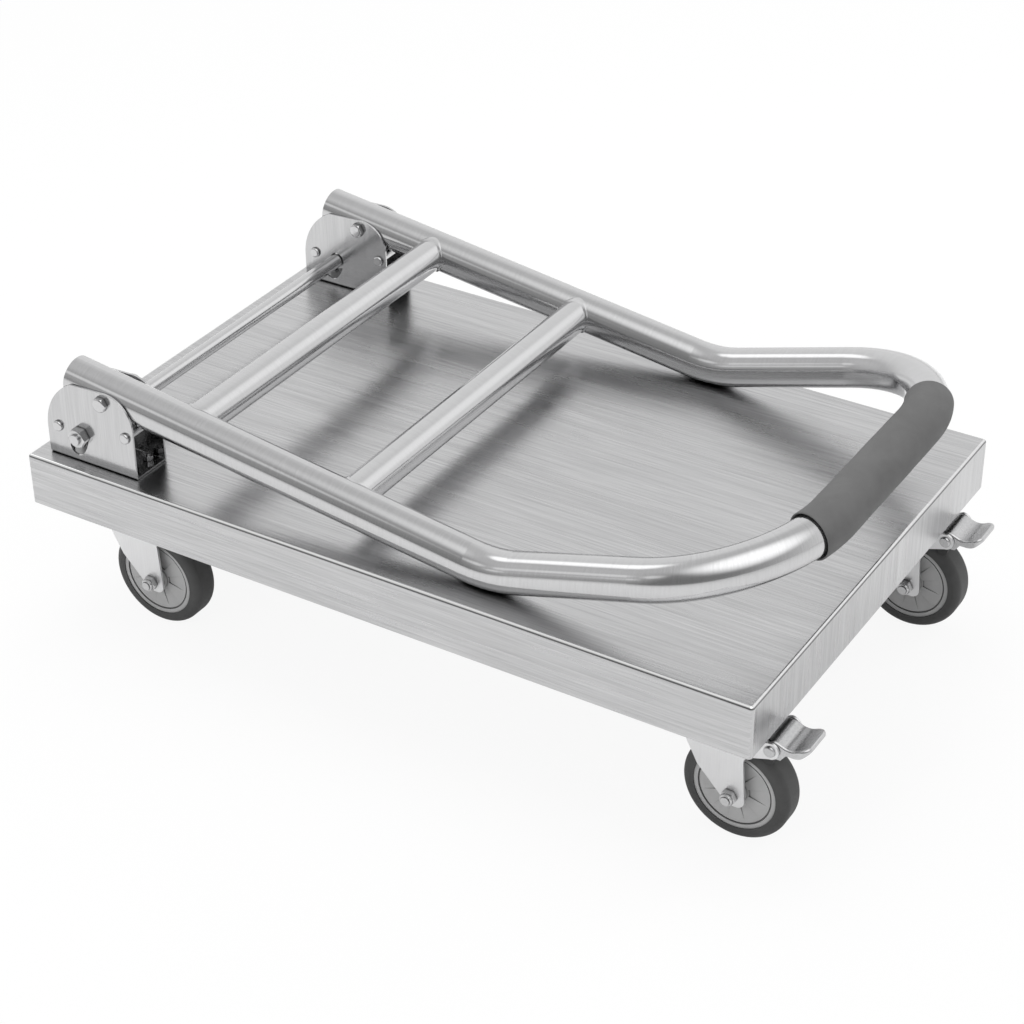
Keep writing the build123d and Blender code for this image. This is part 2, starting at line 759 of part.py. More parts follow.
def lock_nuts():
    nuts = []
    face = bracket_side + bracket_outer + seat_gap
    for sign in (-1, 1):
        nut = hex_y(*bar, m10_flats, sign * face, sign * (face + m10_nut))
        bore = sorted((sign * (face - cut_past), sign * (face + m10_nut + cut_past)))
        nuts.append(nut - pin_y(*bar, bar_thread_radius + pin_gap, *bore))
    return Compound(children=nuts)


def latch_arm(sign):
    # Carries the lock bar from the spring pin, against the inner cheek
    outer = sign * (bracket_side - bracket_inner + seat_gap)
    ends = sorted((outer, outer + sign * latch_arm_sheet))
    shape = Rot(0, 0, bar_up) * SlotCenterToCenter(bar_arm, 2 * latch_arm_radius)
    middle = ((bar[0] + spring_pin[0]) / 2, (bar[1] + spring_pin[1]) / 2)
    face = Pos(middle[0], 0, middle[1]) * (Plane.XZ * shape)
    arm = side_prism(face, *ends)
    cut = (ends[0] - cut_past, ends[1] + cut_past)
    arm -= pin_y(*spring_pin, guide_sleeve_radius + pin_gap, *cut)
    arm -= pin_y(*bar, bar_radius + pin_gap, *cut)
    return arm - pin_y(*pivot, tail_reach + seat_gap, *cut)


def biarc(p, tangent_p, q, tangent_q):
    # Two arcs that join two points of a helix and keep both directions
    v = q - p
    t = tangent_p + tangent_q
    spread = 2 * (1 - tangent_p.dot(tangent_q))
    d = (-v.dot(t) + sqrt(v.dot(t) ** 2 + spread * v.dot(v))) / spread
    middle = (p + q + (tangent_p - tangent_q) * d) * 0.5
    first = TangentArc(p, middle, tangent=tangent_p)
    return [first, TangentArc(middle, q, tangent=first % 1)]


def lock_spring(side):
    # A torsion spring round the sleeve: one leg stands on the base, one lifts the bar
    coil = guide_sleeve_radius + seat_gap + spring_wire
    under_bar = bar_radius + spring_wire + seat_gap - coil
    upper_slope_angle = bar_up - degrees(asin(under_bar / bar_arm))
    start = radians(90 + spring_lower_slope)
    turn = radians(upper_slope_angle - spring_lower_slope - 180) + 2 * pi * (spring_turns + 1)
    steps = 2 * (spring_turns + 1)
    rise = spring_pitch / (2 * pi)

    def point(angle):
        a = start + angle
        return Vector(spring_pin[0] + coil * cos(a), side + spring_start + rise * angle,
                      spring_pin[1] + coil * sin(a))

    def heading(angle):
        a = start + angle
        return Vector(-coil * sin(a), rise, coil * cos(a)).normalized()

    first = point(0)
    lower_leg = (first.Z - base_top - spring_wire - seat_gap) / heading(0).Z
    tail = first - heading(0) * lower_leg
    edges = [Line(tail, first)]
    for index in range(steps):
        a = turn * index / steps
        b = turn * (index + 1) / steps
        edges += biarc(point(a), heading(a), point(b), heading(b))
    last = point(turn)
    edges.append(Line(last, last + heading(turn) * spring_upper_leg))
    path = Wire(edges)
    count = spring_samples
    samples = [path.position_at(i / count) for i in range(count + 1)]
    apart = int(pi * coil / path.length * count)
    gap = min((a - b).length for i, a in enumerate(samples) for b in samples[i + apart:])
    print("spring gap to itself", round(gap - 2 * spring_wire, 2))
    section = Plane(origin=tail, z_dir=heading(0)) * Circle(spring_wire)
    return sweep(section, path=path)


def handle_points(side):
    # The centreline of one leg of the handle, from its tail to the corner bend
    down = radians(lower_slope)
    up = radians(upper_slope)
    along_low = Vector(cos(down), 0, -sin(down))
    along_up = Vector(cos(up), 0, sin(up))
    base = Vector(pivot[0], side, pivot[1])
    tail = base - along_low * tail_length
    kink = base + along_low * lower_length
    centre = kink + Vector(sin(down), 0, cos(down)) * kink_radius
    middle_angle = (up - down) / 2
    middle = centre + Vector(sin(middle_angle), 0, -cos(middle_angle)) * kink_radius
    rise = centre + Vector(sin(up), 0, -cos(up)) * kink_radius
    corner = rise + along_up * upper_length
    return tail, kink, middle, rise, corner, along_up


def corner_arc(side, angle_from, angle_to):
    # Part of the bend between a leg and the crossbar, by angle from the leg
    corner, forward = handle_points(side)[4:]
    inward = Vector(0, 1 if side < 0 else -1, 0)
    centre = corner + inward * corner_radius

    def point(angle):
        a = radians(angle)
        return centre - inward * corner_radius * cos(a) + forward * corner_radius * sin(a)

    return ThreePointArc(point(angle_from), point((angle_from + angle_to) / 2), point(angle_to))


def handle_tube():
    near = handle_points(-bracket_side)
    far = handle_points(bracket_side)
    near_corner = corner_arc(-bracket_side, 0, 90)
    far_corner = corner_arc(bracket_side, 90, 0)
    path = Wire([
        Line(near[0], near[1]), ThreePointArc(near[1], near[2], near[3]), Line(near[3], near[4]),
        near_corner, Line(near_corner @ 1, far_corner @ 0), far_corner,
        Line(far[4], far[3]), ThreePointArc(far[3], far[2], far[1]), Line(far[1], far[0])])
    ring = Circle(tube_radius) - Circle(tube_radius - tube_wall)
    tube = sweep(Plane(origin=near[0], z_dir=near[1] - near[0]) * ring, path=path)
    for side in (-bracket_side, bracket_side):
        reach_y = tube_radius + cut_past
        tube -= pin_y(*pivot, pivot_sleeve_radius + pin_gap, side - reach_y, side + reach_y)
    return tube


def leg_cylinder(side, radius):
    down = radians(lower_slope)
    direction = Vector(cos(down), 0, -sin(down))
    start = Vector(pivot[0], side, pivot[1])
    return extrude(Plane(origin=start, z_dir=direction) * Circle(radius), lower_length)


def rung(distance):
    # A tube coped to both legs, with a weld bead round each end
    down = radians(lower_slope)
    x = pivot[0] + distance * cos(down)
    z = pivot[1] - distance * sin(down)
    solid = pin_y(x, z, rung_radius, -bracket_side, bracket_side)
    sleeve = pin_y(x, z, rung_radius + weld_size, -bracket_side, bracket_side)
    for side in (-bracket_side, bracket_side):
        solid += sleeve & leg_cylinder(side, tube_radius + weld_size)
    for side in (-bracket_side, bracket_side):
        solid -= leg_cylinder(side, tube_radius + pin_gap)
    return solid - pin_y(x, z, rung_radius - tube_wall, -bracket_side, bracket_side)


def handle_grip():
    straight = bracket_side - corner_radius
    near_reach = grip_length / 2 - grip_shift - straight
    far_reach = grip_length / 2 + grip_shift - straight
    near_arc = corner_arc(-bracket_side, 90 - degrees(near_reach / corner_radius), 90)
    far_arc = corner_arc(bracket_side, 90, 90 - degrees(far_reach / corner_radius))
    path = Wire([near_arc, Line(near_arc @ 1, far_arc @ 0), far_arc])
    ring = Circle(tube_radius + grip_wall) - Circle(tube_radius + pin_gap)
    return sweep(Plane(origin=near_arc @ 0, z_dir=near_arc % 0) * ring, path=path)


def pivot_sleeves():
    sleeves = []
    half = bracket_inner - seat_gap
    for side in (-bracket_side, bracket_side):
        sleeve = pin_y(*pivot, pivot_sleeve_radius, side - half, side + half)
        reach_y = half + cut_past
        sleeves.append(sleeve - pin_y(*pivot, m8_radius + pin_gap, side - reach_y, side + reach_y))
    return Compound(children=sleeves)


nodes = {
    "deck_pan": deck_pan(),
    "hinge_end_rail": lipped_rail(swivel_x[0]),
    "free_end_rail": lipped_rail(swivel_x[1]),
    "centre_stiffener": centre_stiffener(),
    "hinge_bracket_front": hinge_bracket(-bracket_side),
    "hinge_bracket_rear": hinge_bracket(bracket_side),
    "bracket_bolts": bracket_bolts(),
    "guide_bolts": guide_bolts(),
    "guide_sleeves": guide_sleeves(),
    "m6_nuts": m6_nuts(),
    "pivot_bolts": pivot_bolts(),
    "m8_nuts": m8_nuts(),
    "caster_bolts": caster_bolts(),
    "kingpins": at_swivels(kingpin()),
    "ball_rings": at_swivels(ball_ring()),
    "lock_bar": lock_bar(),
    "lock_nuts": lock_nuts(),
    "latch_arm_front": latch_arm(-1),
    "latch_arm_rear": latch_arm(1),
    "lock_spring_front": lock_spring(-bracket_side),
    "lock_spring_rear": lock_spring(bracket_side),
    "handle_tube": handle_tube(),
    "lower_rung": rung(rung_low),
    "upper_rung": rung(rung_high),
    "handle_grip": handle_grip(),
    "pivot_sleeves": pivot_sleeves(),
}

corners = {
    "hinge_front": (swivel_x[0], -swivel_side, False),
    "hinge_rear": (swivel_x[0], swivel_side, False),
    "free_front": (swivel_x[1], -swivel_side, True),
    "free_rear": (swivel_x[1], swivel_side, True),
}
core = wheel_core()
tread = tyre()
bush = wheel_bush()
plate = caster_plate()
forks = {False: fork(False), True: fork(True)}
bolt = axle_bolt()
nut = axle_nut()
pedal = brake_pedal()
shoe = brake_shoe()
rivet = pedal_rivet()
for name, (x, y, braked) in corners.items():
    place = Pos(x, y, 0)
    wheel_place = Pos(x + caster_trail, y, axle_z)
    nodes["caster_plate_" + name] = place * plate
    nodes["fork_" + name] = place * forks[braked]
    nodes["axle_bolt_" + name] = place * bolt
    nodes["axle_nut_" + name] = place * nut
    nodes["wheel_core_" + name] = wheel_place * core
    nodes["tyre_" + name] = wheel_place * tread
    nodes["wheel_bush_" + name] = wheel_place * bush
    if braked:
        nodes["brake_pedal_" + name] = place * pedal
        nodes["brake_shoe_" + name] = place * shoe
        nodes["pedal_rivet_" + name] = place * rivet

os.makedirs("parts", exist_ok=True)
for name, shape in nodes.items():
    export_step(shape, "parts/" + name + ".step")

box = Compound(children=list(nodes.values())).bounding_box()
print("box", [round(value, 3) for value in (*box.min, *box.max)])
print("pivot", [round(value, 3) for value in pivot], "slope", round(lower_slope, 3))
print("stop", [round(value, 3) for value in stop])
print("spring pin", [round(value, 3) for value in spring_pin], "bar swing", round(bar_up - bar_down, 2))
stop_distance = hypot(stop[0] - pivot[0], stop[1] - pivot[1])
touch_angle = degrees(asin((tube_radius + guide_sleeve_radius + seat_gap) / stop_distance))
stop_angle = degrees(atan2(stop[1] - pivot[1], stop[0] - pivot[0]))
print("handle opens", round(stop_angle - touch_angle + 180 + lower_slope, 2))
print("swivels", [round(value, 3) for value in swivel_x], "nodes", len(nodes))
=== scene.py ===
import bmesh
import bpy
import json
from math import asin, atan2, cos, degrees, pi, radians, sin
from mathutils import Matrix, Vector


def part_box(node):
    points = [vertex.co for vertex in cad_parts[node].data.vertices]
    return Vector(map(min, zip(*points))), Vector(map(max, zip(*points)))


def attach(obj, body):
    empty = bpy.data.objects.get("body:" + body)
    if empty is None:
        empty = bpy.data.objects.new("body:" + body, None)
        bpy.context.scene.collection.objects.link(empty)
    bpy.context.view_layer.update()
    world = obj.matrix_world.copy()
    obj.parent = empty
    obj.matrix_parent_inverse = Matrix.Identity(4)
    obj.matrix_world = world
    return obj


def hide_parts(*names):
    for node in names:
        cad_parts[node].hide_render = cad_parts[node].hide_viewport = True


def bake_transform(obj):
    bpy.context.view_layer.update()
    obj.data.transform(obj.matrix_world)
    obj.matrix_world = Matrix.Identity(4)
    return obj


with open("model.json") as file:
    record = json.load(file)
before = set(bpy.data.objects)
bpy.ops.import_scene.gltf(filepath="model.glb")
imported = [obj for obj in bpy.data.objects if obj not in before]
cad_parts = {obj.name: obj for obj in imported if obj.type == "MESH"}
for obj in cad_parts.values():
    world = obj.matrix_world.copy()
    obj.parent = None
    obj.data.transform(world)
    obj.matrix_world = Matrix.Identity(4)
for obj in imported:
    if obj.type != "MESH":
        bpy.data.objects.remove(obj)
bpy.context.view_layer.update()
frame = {"nodes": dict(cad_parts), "record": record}
nodes = frame["nodes"]
print("frame loaded,", len(nodes), "nodes")

# The bent handle's centreline, which the grip, the springs and the tube's grain follow
handleShape = {"legSide": 0.203, "cornerRadius": 0.120, "bendStart": 0.225, "slope": 16.2}


def placed(name, data):
    # Puts a mesh, a lamp or the camera into the scene
    piece = bpy.data.objects.new(name, data)
    bpy.context.scene.collection.objects.link(piece)
    return piece


# Camera, at the photograph's place: turned about Z, then tilted down, then rolled
cameraValues = {"place": (1.01403, -1.65412, 1.36943), "turn": -31.835, "down": 32.929,
                "roll": -0.512, "lens": 86.58, "sensor": 36.0, "farthest": 50.0}


def makeCamera():
    v = cameraValues
    turn, down, roll = radians(v["turn"]), radians(v["down"]), radians(v["roll"])
    right = Vector((cos(turn), -sin(turn), 0))
    forward = Vector((sin(turn) * cos(down), cos(turn) * cos(down), -sin(down)))
    up = right.cross(forward)
    rolledRight = cos(roll) * right + sin(roll) * up
    rolledUp = cos(roll) * up - sin(roll) * right
    data = bpy.data.cameras.new("camera")
    data.lens = v["lens"]
    data.sensor_width = v["sensor"]
    data.clip_end = v["farthest"]
    camera = placed("camera", data)
    turned = Matrix((rolledRight, rolledUp, -forward)).transposed()
    camera.matrix_world = Matrix.Translation(v["place"]) @ turned.to_4x4()
    bpy.context.scene.camera = camera
    print("camera placed")


# Small helpers for node trees. Every input takes a socket or a fixed value
def feed(tree, place, value):
    if isinstance(value, bpy.types.NodeSocket):
        tree.links.new(value, place)
    else:
        place.default_value = value


def put(tree, kind, inputs=None, **settings):
    node = tree.nodes.new("ShaderNode" + kind)
    for name, value in settings.items():
        setattr(node, name, value)
    for name, value in (inputs or {}).items():
        feed(tree, node.inputs[name], value)
    return node


def maths(tree, operation, *values):
    return put(tree, "Math", dict(enumerate(values)), operation=operation).outputs["Value"]


def vectorMaths(tree, operation, *values):
    return put(tree, "VectorMath", dict(enumerate(values)), operation=operation).outputs["Vector"]


def parted(tree, vector):
    return put(tree, "SeparateXYZ", {"Vector": vector}).outputs


def combined(tree, x, y, z):
    return put(tree, "CombineXYZ", {"X": x, "Y": y, "Z": z}).outputs["Vector"]


def noise(tree, vector, detail, roughness, scale=1.0, **more):
    values = {"Vector": vector, "Scale": scale, "Detail": detail, "Roughness": roughness, **more}
    return put(tree, "TexNoise", values).outputs["Fac"]


def mapped(tree, value, low, high, span=(0.0, 1.0), soft=False):
    # Runs from low to high while the value runs through the span, and stays there past its ends
    values = {"Value": value, "From Min": span[0], "From Max": span[1], "To Min": low, "To Max": high}
    kind = "SMOOTHSTEP" if soft else "LINEAR"
    return put(tree, "MapRange", values, interpolation_type=kind).outputs["Result"]


# A Mix node's numbered sockets for each kind of data: its two inputs and its result
mixSockets = {"FLOAT": (2, 3, 0), "VECTOR": (4, 5, 1), "RGBA": (6, 7, 2)}


def mixed(tree, kind, amount, first, second, **settings):
    # first where the amount is 0, second where it is 1. A fixed colour is a tuple of three
    firstPlace, secondPlace, result = mixSockets[kind]
    node = put(tree, "Mix", data_type=kind, **settings)
    for place, value in ((0, amount), (firstPlace, first), (secondPlace, second)):
        feed(tree, node.inputs[place], (*value, 1) if isinstance(value, tuple) else value)
    return node.outputs[result]


def ramp(tree, source, stops):
    node = put(tree, "ValToRGB", {"Fac": source})
    elements = node.color_ramp.elements
    while len(elements) < len(stops):
        elements.new(0.5)        # its own place is set below
    for element, (place, value) in zip(elements, stops):
        element.position = place
        element.color = (value, value, value, 1)
    return node.outputs["Color"]


def newMaterial(name):
    material = bpy.data.materials.new(name)
    material.use_nodes = True
    tree = material.node_tree
    tree.nodes.clear()
    shader = put(tree, "BsdfPrincipled")
    put(tree, "OutputMaterial", {"Surface": shader.outputs["BSDF"]})
    return material, tree, shader


def newGroup(name, vectorName, numbers, outputs):
    # One vector and some numbers go in. Its inner ends are given back as sockets by name
    group = bpy.data.node_groups.new(name, "ShaderNodeTree")
    sockets = group.interface
    sockets.new_socket(name=vectorName, in_out="INPUT", socket_type="NodeSocketVector")
    for label, value in numbers.items():
        socket = sockets.new_socket(name=label, in_out="INPUT", socket_type="NodeSocketFloat")
        socket.default_value = value
    for label, kind in outputs.items():
        sockets.new_socket(name=label, in_out="OUTPUT", socket_type="NodeSocket" + kind)
    inside, out = group.nodes.new("NodeGroupInput"), group.nodes.new("NodeGroupOutput")
    return group, inside.outputs, out.inputs


def useGroup(tree, group, inputs):
    return put(tree, "Group", inputs, node_tree=group).outputs


# Long scratches. X of the vector runs along the grain, and hairs and bands are finer and broader
# copies of the streaks
grainValues = {"streakDetail": 5.0, "streakRoughness": 0.62, "streakSteps": 2.1,
               "hairScale": (2.3, 3.7, 3.7), "hairDetail": 2.0, "hairRoughness": 0.5,
               "bandScale": (0.25, 0.06, 0.06), "bandDetail": 3.0, "bandRoughness": 0.55}


def makeGrainGroup():
    v = grainValues
    group, inside, out = newGroup("brushedGrain", "Vector", {"Length": 9.0, "Fineness": 420.0},
                                  {"Streaks": "Float", "Hairs": "Float", "Bands": "Float"})
    stretch = combined(group, inside["Length"], inside["Fineness"], inside["Fineness"])
    scaled = vectorMaths(group, "MULTIPLY", inside["Vector"], stretch)
    streaks = noise(group, scaled, v["streakDetail"], v["streakRoughness"],
                    Lacunarity=v["streakSteps"])
    fine = vectorMaths(group, "MULTIPLY", scaled, v["hairScale"])
    hairs = noise(group, fine, v["hairDetail"], v["hairRoughness"])
    broad = vectorMaths(group, "MULTIPLY", scaled, v["bandScale"])
    bands = noise(group, broad, v["bandDetail"], v["bandRoughness"])
    group.links.new(streaks, out["Streaks"])
    group.links.new(hairs, out["Hairs"])
    group.links.new(bands, out["Bands"])
    return group


# Faint cloudy marks from cleaning and handling
handlingValues = {"detail": 4.0, "roughness": 0.6, "distortion": 0.4, "span": (0.3, 0.7)}


def makeHandlingGroup():
    v = handlingValues
    group, inside, out = newGroup("handlingMarks", "Vector", {"Scale": 14.0}, {"Marks": "Float"})
    clouds = noise(group, inside["Vector"], v["detail"], v["roughness"], inside["Scale"],
                   Distortion=v["distortion"])
    group.links.new(mapped(group, clouds, 0, 1, v["span"]), out["Marks"])
    return group


# The rounded top edges of a boxy sheet part, where the normal lies along no axis. Every span is of
# a square of the normal's parts: the largest one for the bend, X for the ends, Z for the others
edgeValues = {"bendSpan": (0.88, 0.99), "upperSpan": (0.40, 0.52), "lowerSpan": (0.34, 0.46),
              "aboveSpan": (0.04, 0.12), "endSpan": (0.04, 0.15), "endShare": 0.3}


def makeEdgeGroup():
    # Edge is 1 on the upper half of the bend, and less at the ends. Under is 1 on the lower half
    v = edgeValues
    group, inside, out = newGroup("roundedEdge", "Normal", {"End Share": v["endShare"]},
                                  {"Edge": "Float", "Under": "Float"})
    square = parted(group, vectorMaths(group, "MULTIPLY", inside["Normal"], inside["Normal"]))
    flat = maths(group, "MAXIMUM", square["X"], square["Y"])
    most = maths(group, "MAXIMUM", flat, square["Z"])
    turned = mapped(group, most, 1, 0, v["bendSpan"])
    upper = mapped(group, square["Z"], 0, 1, v["upperSpan"])
    lower = mapped(group, square["Z"], 1, 0, v["lowerSpan"])
    above = mapped(group, square["Z"], 0, 1, v["aboveSpan"])
    isEnd = mapped(group, square["X"], 0, 1, v["endSpan"])
    share = mixed(group, "FLOAT", isEnd, 1.0, inside["End Share"])
    light = maths(group, "MULTIPLY", turned, upper)
    group.links.new(maths(group, "MULTIPLY", light, share), out["Edge"])
    dark = maths(group, "MULTIPLY", turned, lower)
    group.links.new(maths(group, "MULTIPLY", dark, above), out["Under"])
    return group


# Painted shade between the cheeks of a bracket: darkest on its base, and gone at its top
innerShadeValues = {"sheet": 0.002, "intoCheek": 0.0002}


def makeInnerShadeGroup():
    low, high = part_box("hinge_bracket_rear")
    sheet = innerShadeValues["sheet"]
    numbers = {"Middle": (low[1] + high[1]) / 2,
               "Half Width": (high[1] - low[1]) / 2 - sheet + innerShadeValues["intoCheek"],
               "Low": low[2] + sheet, "High": high[2]}
    group, inside, out = newGroup("bracketInnerShade", "Vector", numbers, {"Inner Shade": "Float"})
    place = parted(group, inside["Vector"])
    sideways = maths(group, "ABSOLUTE", place["Y"])
    offset = maths(group, "ABSOLUTE", maths(group, "SUBTRACT", sideways, inside["Middle"]))
    between = maths(group, "LESS_THAN", offset, inside["Half Width"])
    upward = mapped(group, place["Z"], 1, 0, (inside["Low"], inside["High"]))
    group.links.new(maths(group, "MULTIPLY", between, upward), out["Inner Shade"])
    return group


def makeAroundGroup():
    # Scratches round the handle's tube: the vector's X is turned into the length along the tube,
    # which leaves the X axis where the corner bends begin
    radius = handleShape["cornerRadius"]
    numbers = {"Bend Start": handleShape["bendStart"], "Bend Side": handleShape["legSide"] - radius,
               "Bend Radius": radius}
    group, inside, out = newGroup("roundTheTube", "Vector", numbers, {"Vector": "Vector"})
    place = parted(group, inside["Vector"])
    past = maths(group, "SUBTRACT", place["X"], inside["Bend Start"])
    off = maths(group, "SUBTRACT", maths(group, "ABSOLUTE", place["Y"]), inside["Bend Side"])
    bent = maths(group, "MULTIPLY", maths(group, "ARCTAN2", past, off), inside["Bend Radius"])
    isBent = maths(group, "GREATER_THAN", past, 0.0)
    length = mixed(group, "FLOAT", isBent, past, bent)
    group.links.new(combined(group, length, place["Y"], place["Z"]), out["Vector"])
    return group


grainGroup = makeGrainGroup()
handlingGroup = makeHandlingGroup()
edgeGroup = makeEdgeGroup()
innerShadeGroup = makeInnerShadeGroup()
aroundGroup = makeAroundGroup()
print("shared effects made,", len(bpy.data.node_groups))

# The stretch that most of a noise lies in, wide for streaks, and the samples of slow shading nodes
streakSpan, noiseSpan = (0.25, 0.75), (0.3, 0.7)
cornerSamples, bevelSamples = 6, 4


def roughened(tree, value, v, span=(0.0, 1.0)):
    return mapped(tree, value, v["rough"] - v["roughSpread"], v["rough"] + v["roughSpread"], span)


def paintCornerShade(tree, colour, v):
    # Painted shade: the colour turns to a dark shade colour in corners where one piece sits on another,
    # found by ambient occlusion
    if "contact" not in v:
        return colour
    openness = put(tree, "AmbientOcclusion", {"Distance": v["contact"]}, samples=cornerSamples)
    corner = mapped(tree, openness.outputs["AO"], 1, 0, (v["closed"], v["open"]))
    return mixed(tree, "RGBA", corner, colour, v["cornerShade"])


def softEdges(tree, bump, v):
    # Rounds sharp edges in the shading
    if "softEdge" in v:
        rounded = put(tree, "Bevel", {"Radius": v["softEdge"]}, samples=bevelSamples)
        tree.links.new(rounded.outputs["Normal"], bump.inputs["Normal"])


def brushedSteel(name, v, upright=False):
    # Sheet steel. The grain runs along X, or up the sheet
    material, tree, shader = newMaterial(name)
    place = put(tree, "TexCoord").outputs
    part = parted(tree, place["Object"])
    standing = combined(tree, part["Z"], part["Y"], part["X"])
    vector = standing if upright else place["Object"]
    if "endFrom" in v:
        # It stands up on the faces that look along X, and reflections are drawn out across it
        facing = maths(tree, "ABSOLUTE", parted(tree, place["Normal"])["X"])
        isEnd = maths(tree, "GREATER_THAN", facing, v["endFrom"])
        vector = mixed(tree, "VECTOR", isEnd, place["Object"], standing)
        across = vectorMaths(tree, "CROSS_PRODUCT", place["Normal"], (1, 0, 0))
        acrossEnd = vectorMaths(tree, "CROSS_PRODUCT", place["Normal"], (0, 0, 1))
        tree.links.new(mixed(tree, "VECTOR", isEnd, across, acrossEnd), shader.inputs["Tangent"])
        shader.inputs["Anisotropic"].default_value = v["sweep"]
    grain = useGroup(tree, grainGroup,
                     {"Vector": vector, "Length": v["length"], "Fineness": v["fineness"]})
    marks = useGroup(tree, handlingGroup, {"Vector": place["Object"], "Scale": v["cloudScale"]})
    streaks = mapped(tree, grain["Streaks"], 0, 1, streakSpan)
    colour = mixed(tree, "RGBA", streaks, v["dark"], v["light"])
    # Painted shade between the bracket's cheeks, darkest on its base
    if "innerShade" in v:
        innerShade = useGroup(tree, innerShadeGroup, {"Vector": place["Object"]})
        innerShadeAmount = mapped(tree, innerShade["Inner Shade"], *v["innerShade"])
        colour = mixed(tree, "RGBA", innerShadeAmount, colour, v["innerShadeColour"])
    cloudy = mapped(tree, marks["Marks"], 1 - v["clouds"], 1 + v["clouds"])
    rough = maths(tree, "MULTIPLY", roughened(tree, grain["Bands"], v, noiseSpan), cloudy)
    lines = maths(tree, "MULTIPLY", grain["Streaks"], v["streakHeight"])
    height = maths(tree, "ADD", lines, grain["Hairs"])
    bump = put(tree, "Bump", {"Strength": v["bump"], "Distance": v["grainHeight"], "Height": height})
    if "edgeRough" in v:
        # The folded edges are smoother than the flats. Their upper half is painted near white as a painted
        # highlight, and their lower half darkened as painted shade
        bend = useGroup(tree, edgeGroup, {"Normal": place["Normal"]})
        rough = mixed(tree, "FLOAT", bend["Edge"], rough, v["edgeRough"])
        colour = mixed(tree, "RGBA", bend["Edge"], colour, v["edge"])
        shade = mapped(tree, bend["Under"], 0, v["underShare"])
        colour = mixed(tree, "RGBA", shade, colour, v["under"])
        tree.links.new(mapped(tree, bend["Edge"], v["bump"], 0), bump.inputs["Strength"])
    softEdges(tree, bump, v)
    tree.links.new(paintCornerShade(tree, colour, v), shader.inputs["Base Color"])
    tree.links.new(rough, shader.inputs["Roughness"])
    tree.links.new(bump.outputs["Normal"], shader.inputs["Normal"])
    shader.inputs["Metallic"].default_value = 1.0
    return material


# In the value sets below, contact, closed and open and the dark corner colour paint shade into corners
# where pieces meet
deckValues = {"length": 11.0, "fineness": 620.0, "dark": (0.46, 0.46, 0.465),
              "light": (0.68, 0.68, 0.685), "rough": 0.26, "roughSpread": 0.05,
              "cloudScale": 5.0, "clouds": 0.08,
              "bump": 0.14, "grainHeight": 0.0002, "streakHeight": 0.5, "endFrom": 0.7, "sweep": 0.5,
              # The near-white edge colour is a painted highlight on the folded edges, and the dark colour
              # next to it painted shade
              "edgeRough": 0.06, "edge": (1.0, 1.0, 1.0), "under": (0.12, 0.12, 0.12),
              "underShare": 0.75,
              "contact": 0.004, "closed": 0.30, "open": 0.85, "cornerShade": (0.03, 0.03, 0.03)}
bracketValues = {"length": 14.0, "fineness": 700.0, "dark": (0.52, 0.52, 0.525),
                 "light": (0.66, 0.66, 0.665), "rough": 0.18, "roughSpread": 0.03,
                 "cloudScale": 20.0, "clouds": 0.08,
                 "bump": 0.05, "grainHeight": 0.0002, "streakHeight": 0.5, "softEdge": 0.0004,
                 "contact": 0.0012, "closed": 0.45, "open": 0.80, "cornerShade": (0.14, 0.14, 0.14)}
# Painted shade inside the bracket, between its cheeks
innerShadedValues = {**bracketValues, "innerShade": (0.0, 0.9), "innerShadeColour": (0.27, 0.27, 0.272)}
forkValues = {"length": 20.0, "fineness": 900.0, "dark": (0.74, 0.74, 0.745),
              "light": (0.80, 0.80, 0.805), "rough": 0.36, "roughSpread": 0.03,
              "cloudScale": 30.0, "clouds": 0.1,
              "bump": 0.04, "grainHeight": 0.0002, "streakHeight": 0.5, "softEdge": 0.0004,
              "contact": 0.0012, "closed": 0.45, "open": 0.80, "cornerShade": (0.14, 0.14, 0.14)}


def turnedSteel(name, v, runs="X"):
    # Tube and bar: a faint satin grain that runs round the piece, over a bright finish
    material, tree, shader = newMaterial(name)
    place = put(tree, "TexCoord").outputs
    marks = useGroup(tree, handlingGroup, {"Vector": place["Object"], "Scale": v["cloudScale"]})
    vector = place["Object"]
    if runs == "handle":
        vector = useGroup(tree, aroundGroup, {"Vector": vector})["Vector"]
    across, along = v["fineness"] * v["stretch"], v["fineness"]
    scale = (across, along, across) if runs == "Y" else (along, across, across)
    rings = noise(tree, vectorMaths(tree, "MULTIPLY", vector, scale), v["detail"], v["uneven"])
    even = mapped(tree, rings, 0, 1, noiseSpan)
    colour = mixed(tree, "RGBA", even, v["dark"], v["light"])
    bump = put(tree, "Bump", {"Strength": v["bump"], "Distance": v["grainHeight"], "Height": rings})
    softEdges(tree, bump, v)
    tree.links.new(paintCornerShade(tree, colour, v), shader.inputs["Base Color"])
    tree.links.new(roughened(tree, marks["Marks"], v), shader.inputs["Roughness"])
    tree.links.new(bump.outputs["Normal"], shader.inputs["Normal"])
    shader.inputs["Metallic"].default_value = 1.0
    return material


turnedValues = {"detail": 3.0, "uneven": 0.6, "grainHeight": 0.0001}
tubeValues = {**turnedValues, "dark": (0.58, 0.58, 0.585), "light": (0.64, 0.64, 0.645),
              "rough": 0.145, "roughSpread": 0.02, "cloudScale": 12.0,
              "fineness": 1300.0, "stretch": 0.05, "bump": 0.05}
